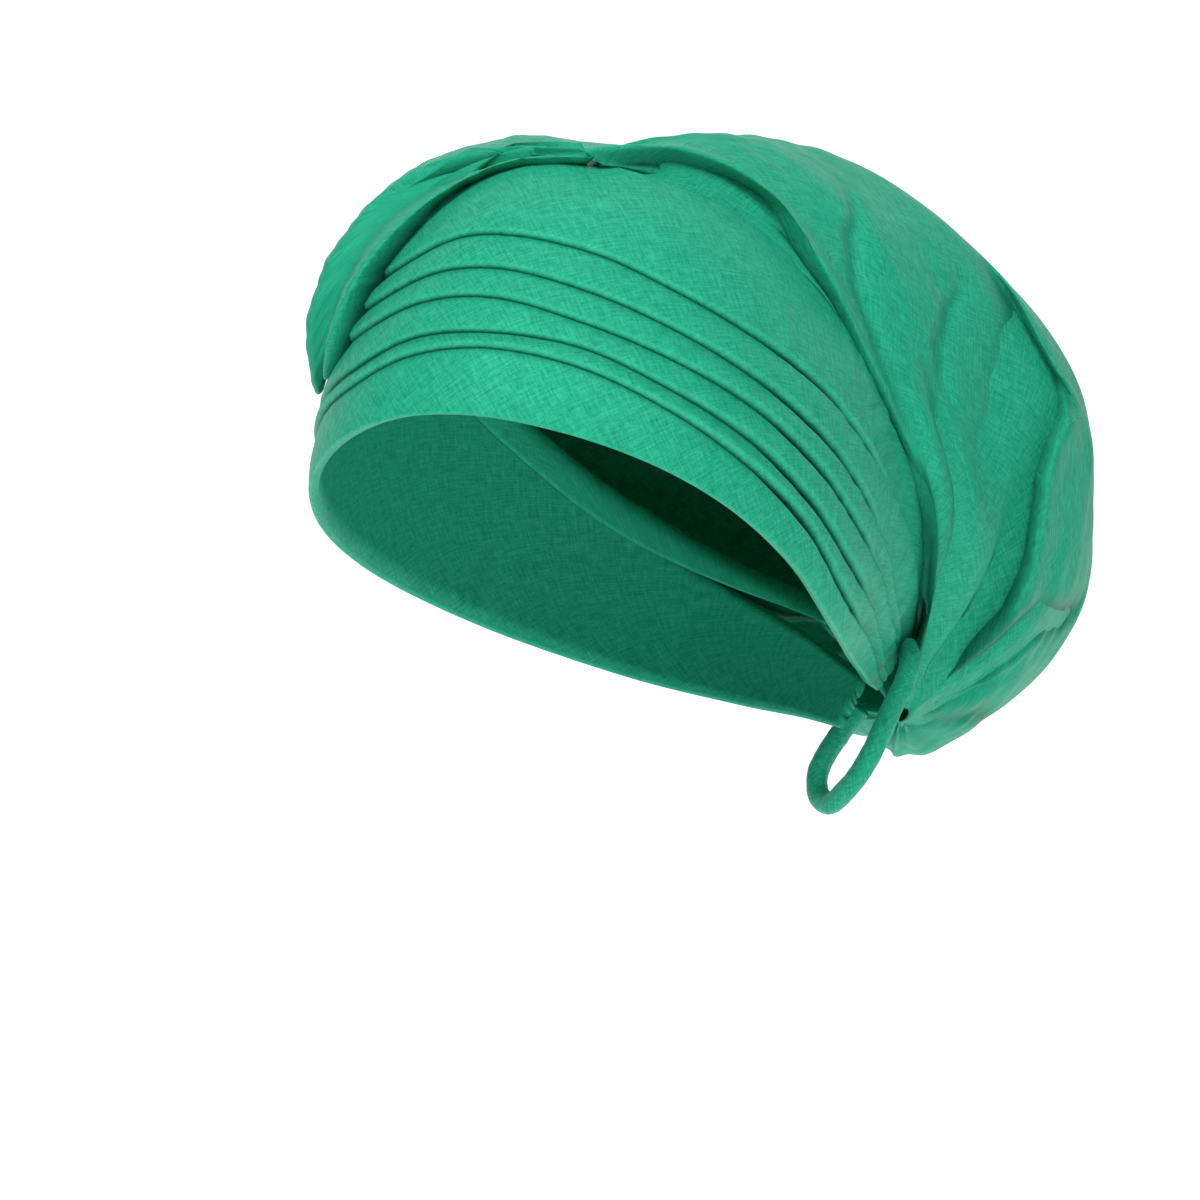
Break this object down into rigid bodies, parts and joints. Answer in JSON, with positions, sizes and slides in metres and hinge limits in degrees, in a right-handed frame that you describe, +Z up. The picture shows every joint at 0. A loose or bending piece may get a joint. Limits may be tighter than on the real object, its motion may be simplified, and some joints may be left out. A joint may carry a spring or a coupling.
{
  "type": "turban headwrap",
  "caption": "Slouchy silk turban headwrap with a pleated front band, a full gathered crown and a rouleau loop behind the left ear.",
  "frame": {"origin": "the middle of the head that the wrap is worn on", "axes": "+Z up out of the crown, -Y the way the wearer looks, +X the wearer's left"},
  "size_m": [0.2152, 0.2832, 0.2196],
  "materials": {
    "silk": "soft sheen, slubby plain weave"
  },
  "bodies": {
    "root": {"pleated_band": "silk", "crown_bag": "silk", "loop": "silk"}
  },
  "joints": []
}
